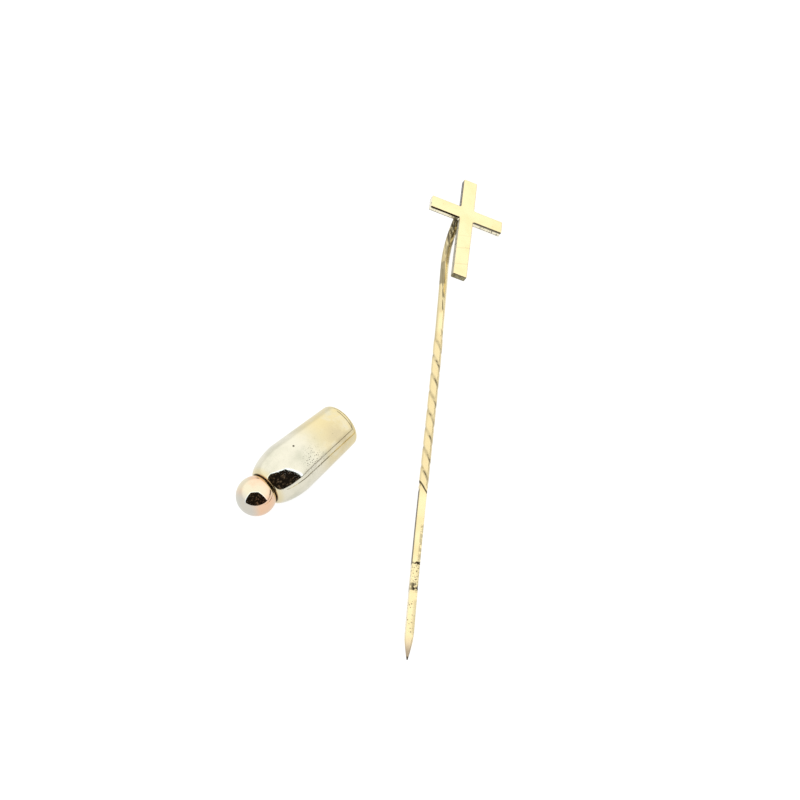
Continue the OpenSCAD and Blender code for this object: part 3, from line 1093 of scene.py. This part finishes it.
def horizon_mask(tree, look, height):
    """1 in the thin dark seam between the floor and the tent's wall."""
    right = ramp(tree, dot(tree, look, direction(40, 0)), 0.62, 0.72)
    far_right = ramp(tree, dot(tree, look, direction(85, 0)), 0.6, 0.8)
    thickness = most(tree, times(tree, right, 0.13), times(tree, far_right, 0.055))
    below = math_node(tree, "SUBTRACT", thickness, height)
    return ramp(tree, below, 0.0, 0.03)


def build_world(scene):
    """A bright white tent with a dark opening on the camera's side."""
    world = bpy.data.worlds.new("white_tent")
    scene.world = world
    world.use_nodes = True
    tree = world.node_tree
    tree.nodes.clear()
    look = put(tree, "ShaderNodeTexCoord").outputs["Generated"]
    height = split(tree, look)["Z"]
    room = ramp(tree, noise(tree, look, 6.0, 4.0, 0.6), 0.53, 0.68)
    dark = blended(tree, room, ROOM_DARK, ROOM_LIGHT)
    depth = opening_depth(tree, look)
    colour = blended(tree, ramp(tree, height, 0.05, 0.34), LOW_WALL, TENT)
    colour = blended(tree, ramp(tree, depth, -RIM, -RIM * 0.6), colour, RIM_LIGHT)
    colour = blended(tree, horizon_mask(tree, look, height), colour, HORIZON)
    colour = blended(tree, ramp(tree, depth, -0.006, 0.006), colour, dark)
    seen = put(tree, "ShaderNodeLightPath").outputs["Is Camera Ray"]
    colour = blended(tree, seen, colour, (1.0, 1.0, 1.0))
    lit = put(tree, "ShaderNodeBackground", {"Color": colour, "Strength": 1.0})
    out = put(tree, "ShaderNodeOutputWorld")
    tree.links.new(lit.outputs[0], out.inputs["Surface"])


def build_floor():
    """A wide white floor, lit so evenly that shadows on it stay faint."""
    mesh = bpy.data.meshes.new("floor")
    signs = ((-1, -1), (1, -1), (1, 1), (-1, 1))
    corners = [(x * FLOOR_HALF, y * FLOOR_HALF, 0) for x, y in signs]
    mesh.from_pydata(corners, [], [(0, 1, 2, 3)])
    floor = bpy.data.objects.new("floor", mesh)
    bpy.context.scene.collection.objects.link(floor)
    material, tree, shader = new_material("white_floor")
    shader.inputs["Metallic"].default_value = 0.0
    shader.inputs["Roughness"].default_value = 0.8
    shader.inputs["Base Color"].default_value = FLOOR_GREY
    shader.inputs["Specular IOR Level"].default_value = 0.0
    shader.inputs["Emission Color"].default_value = (1, 1, 1, 1)
    seen = put(tree, "ShaderNodeLightPath").outputs["Is Camera Ray"]
    glow = math_node(tree, "ADD", times(tree, seen, FLOOR_SEEN - FLOOR_LIT), FLOOR_LIT)
    tree.links.new(glow, shader.inputs["Emission Strength"])
    mesh.materials.append(material)


def build_camera(scene):
    """The camera, looking down at the pin from its point's end."""
    data = bpy.data.cameras.new("camera")
    data.lens = LENS
    data.sensor_width = SENSOR
    data.clip_start = 0.005
    data.clip_end = 20
    camera = bpy.data.objects.new("camera", data)
    scene.collection.objects.link(camera)
    az, el = math.radians(CAMERA_AZIMUTH), math.radians(CAMERA_ELEVATION)
    away = Vector((math.sin(az) * math.cos(el), -math.cos(az) * math.cos(el), math.sin(el)))
    camera.location = TARGET + away * CAMERA_DISTANCE
    camera.rotation_euler = away.to_track_quat("Z", "Y").to_euler()
    scene.camera = camera


# ---------------------------------------------------------------- assembly


def assemble():
    """Makes every piece and puts it on its body."""
    place = clutch_place()
    low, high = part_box("ball_knob")
    knob_radius = (high.z - low.z) / 2 / MM
    pieces = [
        (make_cross(), "pin", "cross", "yellow_gold"),
        (make_wire(), "pin", "pin_wire", "yellow_gold"),
        (make_solder(), "pin", "solder_joint", "solder"),
        (make_barrel(place), "clutch", "barrel_shell", "pale_gold"),
        (make_bush(place), "clutch", "mouth_bush", "pale_gold"),
        (make_stem(place), "plunger", "plunger_stem", "pale_gold"),
        (make_knob(place, knob_radius), "plunger", "ball_knob", "rose_gold"),
    ]
    for piece, body, node, slot in pieces:
        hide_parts(node)
        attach(piece, body)
    spring = make_spring(place)
    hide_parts("coil_spring")
    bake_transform(spring)


with open("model.json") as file:
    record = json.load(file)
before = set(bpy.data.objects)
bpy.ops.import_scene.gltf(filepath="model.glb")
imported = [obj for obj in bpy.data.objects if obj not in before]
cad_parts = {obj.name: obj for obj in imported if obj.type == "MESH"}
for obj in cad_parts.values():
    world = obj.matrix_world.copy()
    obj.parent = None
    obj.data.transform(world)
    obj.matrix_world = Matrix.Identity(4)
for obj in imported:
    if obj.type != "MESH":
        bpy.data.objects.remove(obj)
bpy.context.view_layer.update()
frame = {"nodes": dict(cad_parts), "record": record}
scene = bpy.context.scene
scene.view_settings.view_transform = "Standard"
build_camera(scene)
build_world(scene)
build_floor()
assemble()
dress_inner_nodes()
